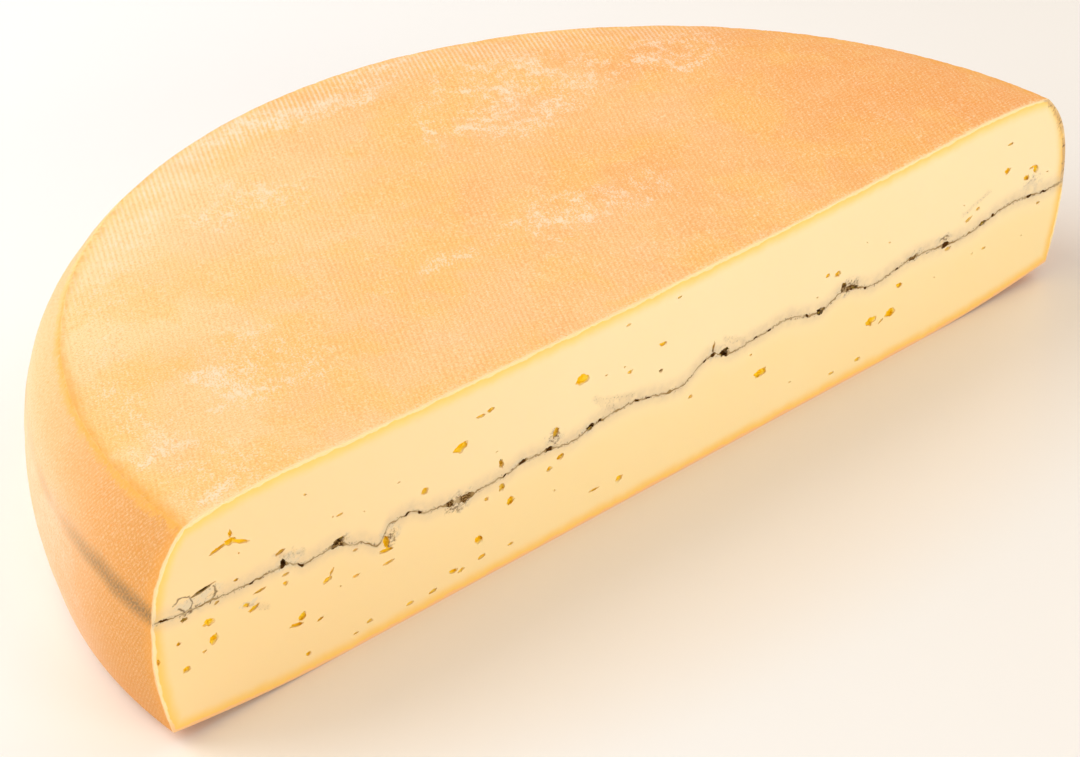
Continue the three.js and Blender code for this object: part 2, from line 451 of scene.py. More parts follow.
# Eyes: flattened, sharp-cornered pits. Each has its place on the cut, width, height and tilt in degrees
eyes = {
    "seen": [
        (-154.4, 51.9, 6.4, 1.2, 12), (-150.4, 52.5, 4.4, 2.0, -5), (-147.1, 50.9, 5.4, 1.3, -26),
        (-150.4, 54.7, 1.5, 2.2, 12), (-159.9, 42.2, 7.0, 1.2, 6), (-135.0, 41.7, 3.4, 1.3, 10),
        (-149.3, 40.2, 1.6, 0.9, 0), (-165.8, 36.3, 2.4, 1.2, 0), (-155.6, 36.4, 1.6, 0.9, 20),
        (-158.3, 31.9, 3.4, 2.2, -10), (-157.1, 26.0, 3.0, 3.0, 30), (-165.9, 21.1, 2.6, 2.0, 0),
        (-167.9, 29.9, 1.4, 1.2, 0), (-174.3, 27.6, 1.0, 2.0, 0), (-160.1, 23.7, 1.6, 0.8, 0),
        (-141.9, 33.3, 4.0, 1.0, 4), (-133.5, 34.2, 2.4, 1.0, 0), (-146.5, 31.0, 2.2, 1.3, -20),
        (-144.0, 28.9, 3.2, 1.4, 15), (-133.7, 31.5, 1.6, 1.4, 0), (-120.0, 25.8, 3.2, 1.7, 12),
        (-118.6, 27.6, 2.6, 0.9, 55), (-110.6, 30.6, 1.7, 0.8, 0), (-110.6, 22.4, 2.4, 0.9, 0),
        (-128.6, 18.6, 2.8, 2.5, 20), (-130.5, 16.9, 4.4, 1.4, -12), (-122.8, 14.9, 2.4, 1.0, 8),
        (-127.0, 6.0, 1.9, 1.5, 0), (-106.3, 5.9, 2.3, 1.2, 0), (-111.2, 4.4, 1.7, 0.7, 0),
        (-86.6, 37.6, 2.7, 2.2, 0), (-73.9, 45.4, 5.4, 2.8, 8), (-63.4, 52.4, 2.6, 1.4, 10),
        (-66.9, 52.0, 3.6, 1.0, -4), (-115.4, 43.8, 2.4, 0.8, 0), (-100.1, 28.0, 2.4, 4.4, 10),
        (-100.1, 25.4, 5.0, 1.4, -6), (-99.4, 21.3, 4.0, 0.9, 0), (-67.7, 13.2, 3.5, 2.6, -12),
        (-66.8, 7.2, 3.0, 1.4, 6), (-76.9, 7.4, 3.2, 1.5, -10), (-74.0, 6.4, 2.4, 1.2, 14),
        (-92.3, 4.6, 3.0, 1.2, 0), (-84.2, 4.5, 3.0, 1.1, 6), (-65.0, 25.0, 1.5, 1.3, 0),
        (-59.6, 34.0, 1.6, 3.2, 12), (-59.4, 26.3, 2.2, 2.4, 0), (-56.3, 20.4, 3.2, 2.8, 25),
        (-56.1, 6.3, 2.4, 0.9, 0), (-30.2, 47.5, 4.6, 3.8, -6), (-39.6, 34.9, 2.4, 3.2, -12),
        (-37.9, 26.1, 3.2, 2.0, 10), (-42.0, 24.1, 2.0, 1.8, 0), (-12.0, 42.0, 2.0, 1.2, 0),
        (0.8, 45.6, 3.0, 1.4, -8), (0.2, 37.2, 1.8, 1.2, 0), (12.4, 23.4, 1.9, 1.1, 0),
        (-15.2, 8.7, 2.7, 2.2, 0), (-24.8, 9.4, 4.0, 0.8, 0), (40.9, 19.0, 5.0, 3.1, 4),
        (-12.8, 57.3, 1.8, 0.8, 0), (6.6, 58.0, 1.8, 0.8, 0), (68.0, 40.2, 1.9, 1.4, 0),
        (72.2, 39.1, 2.5, 2.0, 0), (100.3, 24.0, 2.8, 1.8, -14), (88.1, 16.6, 4.4, 2.9, 10),
        (97.1, 16.0, 4.4, 3.1, -8), (93.0, 14.7, 2.6, 0.9, 30), (121.7, 27.9, 2.7, 1.2, 0),
        (130.4, 34.5, 3.0, 1.4, 16), (134.6, 36.6, 1.9, 1.3, 0), (147.6, 53.7, 2.6, 0.9, 0),
        (147.4, 44.7, 2.8, 2.4, 10), (157.0, 38.7, 3.0, 1.8, -10), (161.2, 40.3, 2.6, 3.0, 20),
        (159.2, 41.5, 3.2, 0.9, 5), (163.9, 27.5, 1.7, 1.0, 0),
        (72.0, 5.5, 2.4, 0.9, 0), (83.6, 5.4, 2.8, 1.2, 0), (139.1, 21.3, 2.0, 0.9, 0),
        (25.5, 32.6, 4.6, 2.4, 6), (21.0, 35.8, 0.9, 3.4, -12), (75.2, 33.4, 2.2, 3.4, -20),
        (80.2, 31.4, 3.4, 1.5, -14), (137.3, 30.6, 3.0, 1.4, 0), (65.6, 29.4, 3.2, 2.4, 0),
        (-27.0, 30.6, 2.6, 2.0, 0), (-116.0, 36.2, 3.8, 1.4, 8), (-134.3, 38.2, 1.8, 2.2, 0),
    ],
    "depth": 0.38, "leastDepth": 0.35, "sunk": 0.1,  # the middle lies back by this share of the depth
    "ragged": 0.42, "fineRagged": 0.22,
    # small ones, drawn between limits of place along X, height, width, height of the eye and tilt
    "small": 22, "seed": 41, "smallLimits": [(-168, 168), (3, 60), (0.5, 1.3), (0.35, 0.7), (-25, 25)],
}


def rockEye(x, z, width, height, tilt, rough, seed):
    bpy.ops.mesh.primitive_ico_sphere_add(subdivisions=rough, radius=0.5, location=(0, 0, 0))
    eye = bpy.context.object
    eye.name = "eye"
    turn = math.radians(tilt)
    deepness = eyes["depth"] * (0.35 * width + 0.65 * height) + eyes["leastDepth"]
    for vertex in eye.data.vertices:
        place = vertex.co.copy()
        # two octaves of noise, the first one folded so that it leaves ridges and corners
        swell = 1 + eyes["ragged"] * (abs(noise.noise(place * 2.3 + Vector((seed, 0, 0)))) * 2.2 - 0.5)
        swell += eyes["fineRagged"] * noise.noise(place * 6 + Vector((0, seed, 0)))
        place *= swell
        across, up, back = place.x * width, place.z * height, place.y * 2 * deepness
        back = back * (1 - eyes["sunk"]) + eyes["sunk"] * deepness
        vertex.co = put(x + across * math.cos(turn) - up * math.sin(turn), back,
                        z + across * math.sin(turn) + up * math.cos(turn))
    return eye


def eyeCutters():
    cutters = bpy.data.collections.new("eyeCutters")
    bpy.context.scene.collection.children.link(cutters)
    draw = random.Random(eyes["seed"])
    every = [(*eye, 3) for eye in eyes["seen"]]
    for i in range(eyes["small"]):
        every.append((*[draw.uniform(*limits) for limits in eyes["smallLimits"]], 2))
    for number, eye in enumerate(every):
        rock = rockEye(*eye, 1.7 * number)
        for home in list(rock.users_collection):
            home.objects.unlink(rock)
        cutters.objects.link(rock)
    return cutters


# Shader maths: a Wire is a socket that takes part in Python expressions
class Wire:
    def __init__(self, finish, socket):
        self.finish = finish
        self.socket = socket

    def maths(self, operation, *values):
        return self.finish.node("Math", {"operation": operation}, dict(enumerate(values)))

    def __add__(self, other):
        return self.maths("ADD", self, other)

    def __radd__(self, other):
        return self.maths("ADD", other, self)

    def __sub__(self, other):
        return self.maths("SUBTRACT", self, other)

    def __rsub__(self, other):
        return self.maths("SUBTRACT", other, self)

    def __mul__(self, other):
        return self.maths("MULTIPLY", self, other)

    def __rmul__(self, other):
        return self.maths("MULTIPLY", other, self)

    def __truediv__(self, other):
        return self.maths("DIVIDE", self, other)

    def __pow__(self, other):
        return self.maths("POWER", self, other)

    def sine(self):
        return self.maths("SINE", self)

    def size(self):
        return self.maths("ABSOLUTE", self)

    def root(self):
        return self.maths("SQRT", self)

    def least(self, other):
        return self.maths("MINIMUM", self, other)

    def most(self, other):
        return self.maths("MAXIMUM", self, other)

    def rise(self, start, end):  # 0 before start and 1 after end, with soft ends
        values = {"Value": self, "From Min": start, "From Max": end}
        return self.finish.node("MapRange", {"interpolation_type": "SMOOTHSTEP"}, values)

    def near(self, place, reach):  # 1 at place, falling to 0 at reach away from it
        return 1 - (self - place).size().rise(0, reach)


def linear(red, green, blue):  # a colour as a screen shows it, from 0 to 255
    channels = [channel / 255 for channel in (red, green, blue)]
    return [c / 12.92 if c <= 0.04045 else ((c + 0.055) / 1.055) ** 2.4 for c in channels] + [1]


class Finish:
    def __init__(self, name):
        self.material = bpy.data.materials.new(name)
        self.material.use_nodes = True
        self.tree = self.material.node_tree
        self.tree.nodes.clear()

    def node(self, kind, settings=None, values=None, output=0):
        made = self.tree.nodes.new("ShaderNode" + kind)
        for setting, value in (settings or {}).items():
            if setting == "stops":
                self.setStops(made.color_ramp, value)
            elif setting == "blending":
                made.color_ramp.interpolation = value
            else:
                setattr(made, setting, value)
        for socket, value in (values or {}).items():
            if isinstance(value, Wire):
                self.tree.links.new(value.socket, made.inputs[socket])
            else:
                made.inputs[socket].default_value = value
        return Wire(self, made.outputs[output]) if output is not None else made

    def setStops(self, ramp, stops):
        for _ in stops[2:]:
            ramp.elements.new(0.5)
        for element, (place, colour) in zip(ramp.elements, stops):
            element.position = place
            element.color = colour

    def place(self):  # x, y and z in millimetres from the axis on the cut face, and the three as a vector
        point = self.node("TexCoord", output="Object")
        values = {"Vector": point, "Location": (0, -cutY / mm, 0), "Scale": (1 / mm, 1 / mm, 1 / mm)}
        vector = self.node("Mapping", {}, values)
        return [self.node("SeparateXYZ", {}, {0: vector}, axis) for axis in range(3)] + [vector]

    def joined(self, x, y, z):
        return self.node("CombineXYZ", {}, {0: x, 1: y, 2: z})

    def cloud(self, vector, size, detail=2.0, rough=0.5):  # about 0 to 1, in lumps of that size
        values = {"Vector": vector, "Scale": 1 / size, "Detail": detail, "Roughness": rough}
        return self.node("TexNoise", {}, values)

    def warped(self, vector, size, reach):  # the place pushed about, which bends a pattern's lines
        push = self.node("TexNoise", {}, {"Vector": vector, "Scale": 1 / size, "Detail": 1.0}, "Color")
        push = self.node("VectorMath", {"operation": "SUBTRACT"}, {0: push, 1: (0.5, 0.5, 0.5)})
        push = self.node("VectorMath", {"operation": "SCALE"}, {0: push, "Scale": 2.0 * reach})
        return self.node("VectorMath", {"operation": "ADD"}, {0: vector, 1: push})

    def mix(self, share, low, high):
        return self.node("Mix", {"data_type": "RGBA"}, {0: share, 6: low, 7: high}, 2)

    def bump(self, height, distance, strength):
        return self.node("Bump", {}, {"Height": height, "Distance": distance * mm, "Strength": strength})

    def finish(self, values):
        shader = self.node("BsdfPrincipled", {}, values)
        self.node("OutputMaterial", {}, {0: shader}, None)
        return self.material


# Places that both finishes measure from, in wires
def wireRadius(x, y):
    return ((x / wide) ** 2 + (y / deep) ** 2).root()


def depthUnderTop(radius, z):
    out = ((radius - wheel["creaseRadius"]) / wheel["shoulderWidth"] + 1).most(0).least(1)
    shoulder = wheel["shoulderDrop"] * (1 - out ** wheel["shoulderPower"])
    dish = wheel["topDish"] * (1 - (radius / wheel["creaseRadius"]) ** 2)
    return wheel["creaseHeight"] + shoulder - dish - z


def depthFromSide(radius, z):
    high = ((z - wheel["bulgeHeight"]) / (wheel["creaseHeight"] - wheel["bulgeHeight"])).most(0)
    low = ((wheel["bulgeHeight"] - z) / (wheel["bulgeHeight"] - wheel["footHeight"])).most(0)
    lean = (wheel["bulgeRadius"] - wheel["creaseRadius"]) * high ** wheel["upperSidePower"]
    lean += (wheel["bulgeRadius"] - wheel["footRadius"]) * low ** wheel["lowerSidePower"]
    return wheel["bulgeRadius"] - lean - radius


def heightOverFoot(radius, z):
    out = ((radius - wheel["flatRadius"]) / (wheel["footRadius"] - wheel["flatRadius"])).most(0)
    return z - wheel["footHeight"] * out ** 2


def ashHeightWire(finish, x):  # the line along the cut, from the same list as the layer's own mesh
    span = ashLine["heights"][-1][0] - ashLine["heights"][0][0]
    stops = [((place - ashLine["heights"][0][0]) / span, [height / 100] * 3 + [1])
             for place, height in ashLine["heights"]]
    along = (x - ashLine["heights"][0][0]) / span
    return finish.node("ValToRGB", {"stops": stops, "blending": "EASE"}, {0: along}) * 100


def patch(place, across, up):  # 1 in the middle of an oval patch and 0 outside it
    middleX, middleZ, halfWidth, halfHeight = place
    return 1 - (((across - middleX) / halfWidth) ** 2 + ((up - middleZ) / halfHeight) ** 2).rise(0.2, 1)


def strand(line, across, up):  # 1 on a line between two points and 0 outside its half width
    startX, startZ, endX, endZ, halfWidth = line
    runX, runZ = endX - startX, endZ - startZ
    along = ((across - startX) * runX + (up - startZ) * runZ) / (runX ** 2 + runZ ** 2)
    along = along.most(0).least(1)
    away = ((across - startX - along * runX) ** 2 + (up - startZ - along * runZ) ** 2).root()
    return 1 - away.rise(0, 1.9 * halfWidth)


def alongLump(lump, across, up):  # 1 in the middle of a lump of ash, at any height, and 0 beyond its ends
    return across.near(lump[0], lump[2])


def anyOf(shape, places, across, up):  # 1 where any of the patches, strands or lumps is
    covered = shape(places[0], across, up)
    for place in places[1:]:
        covered = covered.most(shape(place, across, up))
    return covered


pasteLook = {
    # the lower colour and the shade to the left are painted shade: the cut is darker low down and towards
    # the left end
    "upper": linear(254, 230, 182), "lower": linear(252, 225, 166),
    "shadeToLeft": linear(248, 212, 152), "gold": linear(251, 201, 98), "goldTop": linear(255, 213, 112),
    # rim is the pale line at the cut's edge: partly the rind's pale crust, partly a painted highlight
    "rim": linear(255, 230, 180), "rimBelow": linear(248, 190, 142),
    "stain": linear(200, 158, 108), "stainDark": linear(104, 76, 50),
    "goldFrom": 0.4, "goldReach": 5.0, "goldPower": 1.1, "rimReach": 0.95,
    # the pits' yellow deepens further in: a painted glow of light scattered in the cavity
    "pit": linear(255, 220, 64), "pitDeep": linear(255, 211, 10), "pitByAsh": linear(211, 173, 86),
    "pitInAsh": linear(112, 82, 40),
    "soot": linear(92, 64, 30), "haze": linear(212, 188, 154), "veil": linear(226, 207, 172),
    "smoke": linear(190, 166, 132), "brown": linear(112, 80, 42),
    "subsurface": 0.1, "scatter": (0.0022, 0.0014, 0.0006), "roughness": 0.42,  # light scatters, in metres
    # where fine dark veins leave the ash: middle along X and Z, half width, half height
    "veined": [(-160.5, 40.4, 9, 3), (-74, 29, 6.5, 4), (-116, 35.8, 5, 2), (-98, 30, 4, 4),
               (-132, 38, 6, 3), (78, 32.8, 6, 3.4), (22, 34, 5, 2.6), (-40, 33, 4, 4), (-145, 31, 4, 1.6),
               (107, 31.5, 6, 1.8), (120, 32, 5, 1.8), (-27, 30.8, 5, 2), (-52, 31.2, 4, 1.8),
               (160, 36, 7, 3)],
    # strands of ash dust: from and to along X and Z, and half width
    "strands": [
        (-137.0, 41.6, -127.6, 38.0, 0.7), (-147.0, 31.4, -139.4, 27.0, 0.8),
        (-25.0, 39.0, -17.4, 32.6, 1.0), (-20.6, 37.0, -11.0, 34.2, 0.8),
        (25.5, 37.0, 33.5, 33.0, 0.8), (128.0, 37.0, 139.0, 40.5, 0.7),
    ],
    # thin dark outlines round the pale lumps near the left end
    "outlines": [
        (-168.6, 42.0, -167.0, 43.2, 0.26), (-167.0, 43.2, -163.5, 42.4, 0.24),
        (-167.4, 40.2, -165.4, 38.6, 0.3), (-165.4, 38.6, -163.4, 38.2, 0.3),
        (-163.5, 42.4, -163.0, 40.0, 0.26), (-163.0, 40.0, -163.9, 37.4, 0.26),
        (-156.4, 41.8, -155.4, 39.4, 0.24), (-155.4, 39.4, -157.6, 37.6, 0.24),
    ],
    # pits with ash in them
    "sooty": [(-160, 42.3, 6, 2), (-134.4, 38.3, 2.4, 2.6),
              (25.5, 32.6, 3.6, 2.4), (-165, 36.6, 2.4, 1.6), (0.2, 37.2, 2, 1.4), (65.6, 29.2, 2.6, 2.4),
              (-59.6, 35.4, 1.6, 1.6), (-116, 36, 3, 2)],
    # brown, broken patches of paste by the ash
    "broken": [(-75, 28.6, 6, 3.4), (-98.8, 28.4, 2.4, 3.4), (-116, 35.8, 3.6, 1.6), (78, 32.6, 4.6, 2.6),
               (-40, 33.6, 2.4, 3.2), (-164, 38, 4, 1), (120, 32, 3, 1.4), (106, 31.2, 3.4, 1)],
}


def measurePaste(f):  # the wires that the steps below share
    f.x, f.y, f.z, f.point = f.place()
    radius = wireRadius(f.x, f.y)
    f.fine = f.cloud(f.point, 2.4, 4)
    f.cloudy = f.cloud(f.point, 3.2, 3, 0.6)
    f.dust = f.cloud(f.point, 0.8, 3, 0.7)
    f.fromSide = depthFromSide(radius, f.z)
    edge = f.fromSide.least(depthUnderTop(radius, f.z)).least(heightOverFoot(radius, f.z))
    f.edge = edge + (f.cloud(f.point, 5, 2) - 0.5) * 1.6
    f.overAsh = f.z - ashHeightWire(f, f.x)


def plainPaste(f, look):
    broad = f.cloud(f.point, 34, 2)
    # painted shade: darker below the ash line and towards the left end, where less light falls on the cut
    colour = f.mix(f.overAsh.rise(-9, 3) * 0.75 + broad * 0.4 - 0.1, look["lower"], look["upper"])
    return f.mix((0 - f.x).rise(-20, 190) * 0.75, colour, look["shadeToLeft"])


def goldenRim(f, look, colour):
    gold = (1 - f.edge.rise(look["goldFrom"], look["goldReach"])) ** look["goldPower"]
    colour = f.mix(gold, colour, f.mix(f.z.rise(36, 58), look["gold"], look["goldTop"]))
    rim = f.mix(f.z.rise(3, 12), look["rimBelow"], look["rim"])
    # the pale line round the cut: partly pale crust, partly a painted highlight where the edge catches
    # light
    paleRimAndHighlight = 1 - (f.edge + (f.fine - 0.5) * 1.2).rise(look["rimReach"] - 0.35, look["rimReach"])
    return f.mix(paleRimAndHighlight * (0.5 + f.fine * 0.6), colour, rim)


def stainedEnd(f, look, colour):  # the right end's edge, tan above the ash line and thinner down to it
    onRight = f.x.rise(0, 1)
    stain = (1 - (f.fromSide + (f.fine - 0.5) * 4).rise(1.0, 3.0)) * onRight * f.z.rise(44, 51)
    thinEdge = (1 - (f.fromSide + (f.fine - 0.5) * 0.8).rise(0.9, 2.0)) * onRight
    thinEdge = thinEdge * f.z.rise(27, 33) * (1 - f.z.rise(44, 50))
    mottle = f.cloud(f.point, 1.3, 3, 0.65)
    tan = (stain * (mottle.rise(0.25, 0.55) * 0.45 + 0.4)).most(thinEdge * 0.95)
    colour = f.mix(tan * 0.85, colour, look["stain"])
    specks = stain.most(thinEdge) * mottle.rise(0.54, 0.62) * f.cloud(f.point, 5, 1).rise(0.4, 0.52)
    return f.mix(specks * 0.9, colour, look["stainDark"])


def hazeByLine(f, look, colour):  # ash dust in the paste by the line, more above it than below
    haze = f.overAsh.near(0.5, 5.0) * (f.cloudy.rise(0.2, 0.8) * 0.46 + 0.26)
    return f.mix(haze.most(f.overAsh.near(0, 2.0) * 0.72), colour, look["haze"])


def dustyLines(f, look, colour):  # specks, veins, outlines and strands of ash
    soot = f.overAsh.near(0, 1.0) * f.dust.rise(0.45, 0.72) * f.cloud(f.point, 7, 1).rise(0.35, 0.65)
    dots = f.cloud(f.point, 0.85, 1).rise(0.58, 0.66) * (f.overAsh + (f.fine - 0.5) * 2).near(0, 1.1)
    soot = soot.most(dots * 0.85)
    rising = f.joined(f.x / 2.6 + f.z / 4, f.y, f.z - f.x * 0.55)  # veins that rise to the right
    ridge = (f.cloud(f.warped(rising, 2.2, 0.9), 2.1, 2, 0.55) - 0.5).size()
    veins = (1 - ridge.rise(0, 0.022)) * f.dust.rise(0.4, 0.6)
    around = anyOf(patch, look["veined"], f.x + (f.cloudy - 0.5) * 9, f.z + (f.fine - 0.5) * 6)
    soot = soot.most(around * veins * 0.45)
    outlines = anyOf(strand, look["outlines"], f.x + (f.fine - 0.5) * 2.6, f.z + (f.cloudy - 0.5) * 2.2)
    soot = soot.most(outlines * f.dust.rise(0.25, 0.5) * 0.85)
    smoke = anyOf(strand, look["strands"], f.x + (f.fine - 0.5) * 3, f.z + (f.cloudy - 0.5) * 3)
    soot = soot.most(smoke * f.dust.rise(0.54, 0.68) * 0.5)
    colour = f.mix(around * f.cloudy.rise(0.34, 0.6) * 0.8, colour, look["veil"])
    colour = f.mix(smoke * (0.05 + f.cloudy * 0.32), colour, look["smoke"])
    return f.mix(soot, colour, look["soot"])


def brokenPaste(f, look, colour):
    broken = anyOf(patch, look["broken"], f.x + (f.dust - 0.5) * 5, f.z + (f.fine - 0.5) * 4)
    flakes = f.cloud(f.joined(f.x * 0.9, f.y, f.z * 1.5), 1.1, 4, 0.7)
    return f.mix(broken * flakes.rise(0.44, 0.6) * 0.85, colour, look["brown"])


def insidePits(f, look, colour):
    # deeper yellow further into the pit: a painted glow of light scattered in the cavity
    inside = f.mix(f.y.rise(0.3, 1.5), look["pit"], look["pitDeep"])
    byAsh = f.overAsh.near(0.8, 9) * f.cloud(f.point, 2.2, 2).rise(0.3, 0.6)
    inside = f.mix(byAsh * 0.85, inside, look["pitByAsh"])
    sooty = anyOf(patch, look["sooty"], f.x, f.z) * (f.dust.rise(0.35, 0.6) * 0.75 + 0.2)
    inside = f.mix(f.overAsh.near(0.6, 2.0).most(sooty), inside, look["pitInAsh"])
    return f.mix(f.y.rise(0.12, 0.7), colour, inside)


def pasteFinish():
    look = pasteLook
    f = Finish("pasteFinish")
    measurePaste(f)
    colour = plainPaste(f, look)
    for step in (goldenRim, stainedEnd, hazeByLine, dustyLines, brokenPaste, insidePits):
        colour = step(f, look, colour)
    drag = f.cloud(f.joined(f.x / 9, f.y, f.z * 1.3), 1.1, 3)  # the wire's faint drag along the cut
    return f.finish({
        "Base Color": colour, "Roughness": look["roughness"] + f.fine * 0.16,
        "Normal": f.bump(f.fine + drag * 0.5, 0.12, 0.25), "Specular IOR Level": 0.2,
        "Subsurface Weight": look["subsurface"], "Subsurface Radius": look["scatter"],
        "Subsurface Scale": 1.0,
    })


ashLook = {
    "dark": linear(72, 42, 6), "light": linear(190, 164, 122), "mid": linear(150, 119, 68),
    "tan": linear(170, 136, 84), "roughness": 0.85,
}


def ashFinish():
    look = ashLook
    f = Finish("ashFinish")
    x, y, z, point = f.place()
    grain = f.cloud(point, 0.7, 3, 0.65)
    colour = f.mix(f.cloud(point, 6, 2).rise(0.35, 0.65), look["mid"], look["light"])
    lump = anyOf(alongLump, ashLine["lumps"], x, z)
    spotted = anyOf(patch, pasteLook["broken"], x, z) * f.cloud(point, 0.45, 2, 0.6).rise(0.46, 0.6)
    colour = f.mix(lump.rise(0.1, 0.6), colour, f.mix(spotted, look["dark"], look["tan"]))
    return f.finish({
        "Base Color": colour, "Roughness": look["roughness"], "Normal": f.bump(grain, 0.2, 0.5),
        "Specular IOR Level": 0.06,
    })


rindLook = {
    # topPale and topFar at the back-left are partly the rind's paler tone, partly painted light where the
    # key light falls
    "top": linear(251, 193, 120), "topDeep": linear(245, 160, 64), "topPale": linear(255, 217, 156),
    "bloom": linear(255, 230, 202), "side": linear(250, 198, 140), "sideLow": linear(246, 182, 120),
    "sideDeep": linear(221, 150, 64), "crease": linear(246, 178, 66), "smear": linear(122, 102, 68),
    # fleck: pale flecks, also a painted highlight on the rib crests and the cut edge
    "fleckAndHighlight": linear(255, 220, 166), "under": linear(240, 180, 118), "orange": linear(245, 154, 58),
    "gold": linear(251, 192, 88), "peach": linear(251, 193, 138), "groove": linear(240, 154, 70),
    "topFar": linear(255, 232, 180), "paleCrease": linear(255, 222, 140), "sideGold": linear(240, 164, 66),
    # whitish bloom: middle along X and Y, half width, half depth
    "bloomed": [(52, 105, 46, 30), (24, 46, 32, 20), (-108, 42, 26, 22), (-52, 108, 26, 16),
                (104, 96, 22, 20), (0, 146, 66, 12), (-146, 16, 14, 26), (-30, 50, 16, 7)],
    "threadLean": (0.84, 0.54),  # the lean's cosine and sine, on the side
    "roughness": 0.55,
}


def measureRind(f):  # the wires that the steps below share
    f.x, f.y, f.z, f.point = f.place()
    f.radius = wireRadius(f.x, f.y)
    f.below = wheel["creaseHeight"] - f.z
    f.onSide = f.below.rise(-0.6, 0.6) * f.radius.rise(150, 156)
    f.broad = f.cloud(f.point, 46, 2, 0.55)
    f.middling = f.cloud(f.warped(f.point, 6, 5), 10, 3, 0.62)
    f.small = f.cloud(f.point, 3.4, 2, 0.6)
    f.grain = f.cloud(f.point, 0.75, 2, 0.6)
    f.speck = f.cloud(f.point, 0.5, 1, 0.5)
    f.ribs = ribWave(f.x, f.y)
    alongRib = f.joined((f.x * leanX + f.y * leanY) / 0.5, (f.y * leanX - f.x * leanY) / 2.2, f.z / 2)
    f.dashes = f.cloud(alongRib, 1, 2, 0.62)


def topColour(f, look):
    # paler towards the back-left and deeper towards the right: partly the rind's own tone, partly painted
    # light and shade from the key light at the back-left
    shade = f.x.rise(-170, 170) * 0.85 + (1 - f.y.rise(0, 150)) * 0.2
    top = f.mix(shade + (f.broad - 0.5) * 0.9, look["topPale"], look["topDeep"])
    top = f.mix(f.middling.rise(0.35, 0.7) * 0.35, top, look["top"])
    golden = f.cloud(f.warped(f.point, 9, 8), 26, 2).rise(0.4, 0.64)
    top = f.mix(golden * 0.6, top, look["gold"])
    pinkish = f.node("TexNoise", {}, {"Vector": f.point, "Scale": 1 / 30, "Detail": 2.0}, "Color")
    top = f.mix(f.node("SeparateColor", {}, {0: pinkish}, 2).rise(0.48, 0.7) * 0.45, top, look["peach"])
    # the far back-left lighter still: partly paler rind, partly painted light
    farLeftPaleAndLit = f.y.rise(50, 150) * (0 - f.x).rise(-30, 110) * (0.35 + f.middling * 0.4)
    top = f.mix(farLeftPaleAndLit, top, look["topFar"])
    rightOrange = (f.x + (f.middling - 0.5) * 40 + (f.broad - 0.5) * 60).rise(66, 146)
    rightOrange = rightOrange * (1 - f.y.rise(40, 140) * 0.6)
    return f.mix(rightOrange * (f.middling.rise(0.3, 0.6) * 0.7 + 0.24), top, look["orange"])


def clothOnTop(f, look, top):
    worn = (f.small * 0.5 + f.middling * 0.5).rise(0.62, 0.4)
    clear = 1 - (0 - f.x).rise(cloth["fadeFrom"], cloth["fadeTo"]) * cloth["fade"]
    # darker furrows and lighter rib crests: painted shade and painted highlight of the ribs' relief, partly
    # the imprint's own colour
    top = f.mix((0.5 - f.ribs * 0.5) ** 2 * (0.1 + worn * 0.22) * clear, top, look["groove"])
    top = f.mix((f.ribs * 0.5 + 0.5) * 0.22 * f.dashes.rise(0.3, 0.6) * clear, top, look["fleckAndHighlight"])
    weft = (f.y * (2 * math.pi / 1.25) + f.middling * 5).sine() * f.x.rise(60, 110)
    top = f.mix((weft * 0.5 + 0.5) * 0.16, top, look["fleckAndHighlight"])
    top = f.mix(f.speck.rise(0.54, 0.66) * 0.45 + f.grain.rise(0.5, 0.68) * 0.2, top, look["fleckAndHighlight"])
    return f.mix(f.speck.rise(0.47, 0.34) * 0.35, top, look["groove"])


def bloomOnTop(f, look, top):
    bloom = anyOf(patch, look["bloomed"], f.x + (f.middling - 0.5) * 60, f.y + (f.broad - 0.5) * 50)
    atRim = (f.radius + (f.middling - 0.5) * 12).rise(138, 152) * (1 - f.radius.rise(151, 157))
    bloom = bloom.most(atRim * (0 - f.x).rise(40, 130) * 0.6) * 0.8 + 0.2
    bloom = bloom * (f.middling * 0.6 + f.small * 0.4).rise(0.3, 0.72)
    flecks = f.dashes * 0.4 + f.speck * 0.3 + f.grain * 0.2 + f.small * 0.1 + bloom * 0.15
    top = f.mix(flecks.rise(0.54, 0.67) * (bloom * 0.46 + 0.2) + bloom * 0.1, top, look["bloom"])
    farRibs = f.radius.rise(136, 150) * f.y.rise(84, 124) * (f.ribs * 0.5 + 0.5) ** 2
    return f.mix(farRibs * (f.middling * 0.6 + f.small * 0.6).rise(0.35, 0.8) * 0.7, top, look["bloom"])


def weaveSide(f, look):  # the cloth's threads on the side, in arc and height
    flat, steep = look["threadLean"]
    arc = f.x.maths("ARCTAN2", f.y, f.x) * wheel["bulgeRadius"]
    threadWay = arc * flat - f.z * steep
    crossWay = arc * steep + f.z * flat
    drift = f.cloud(f.point, 20, 1) * 5
    along = (threadWay * (2 * math.pi / 1.1) + drift).sine()
    across = (crossWay * (2 * math.pi / 1.25) - drift).sine()
    f.knots = (along * 0.5 + 0.5) * (across * 0.35 + 0.65)
    f.threads = f.cloud(f.joined(threadWay / 0.4, crossWay / 1.3, 0), 1, 2, 0.65)


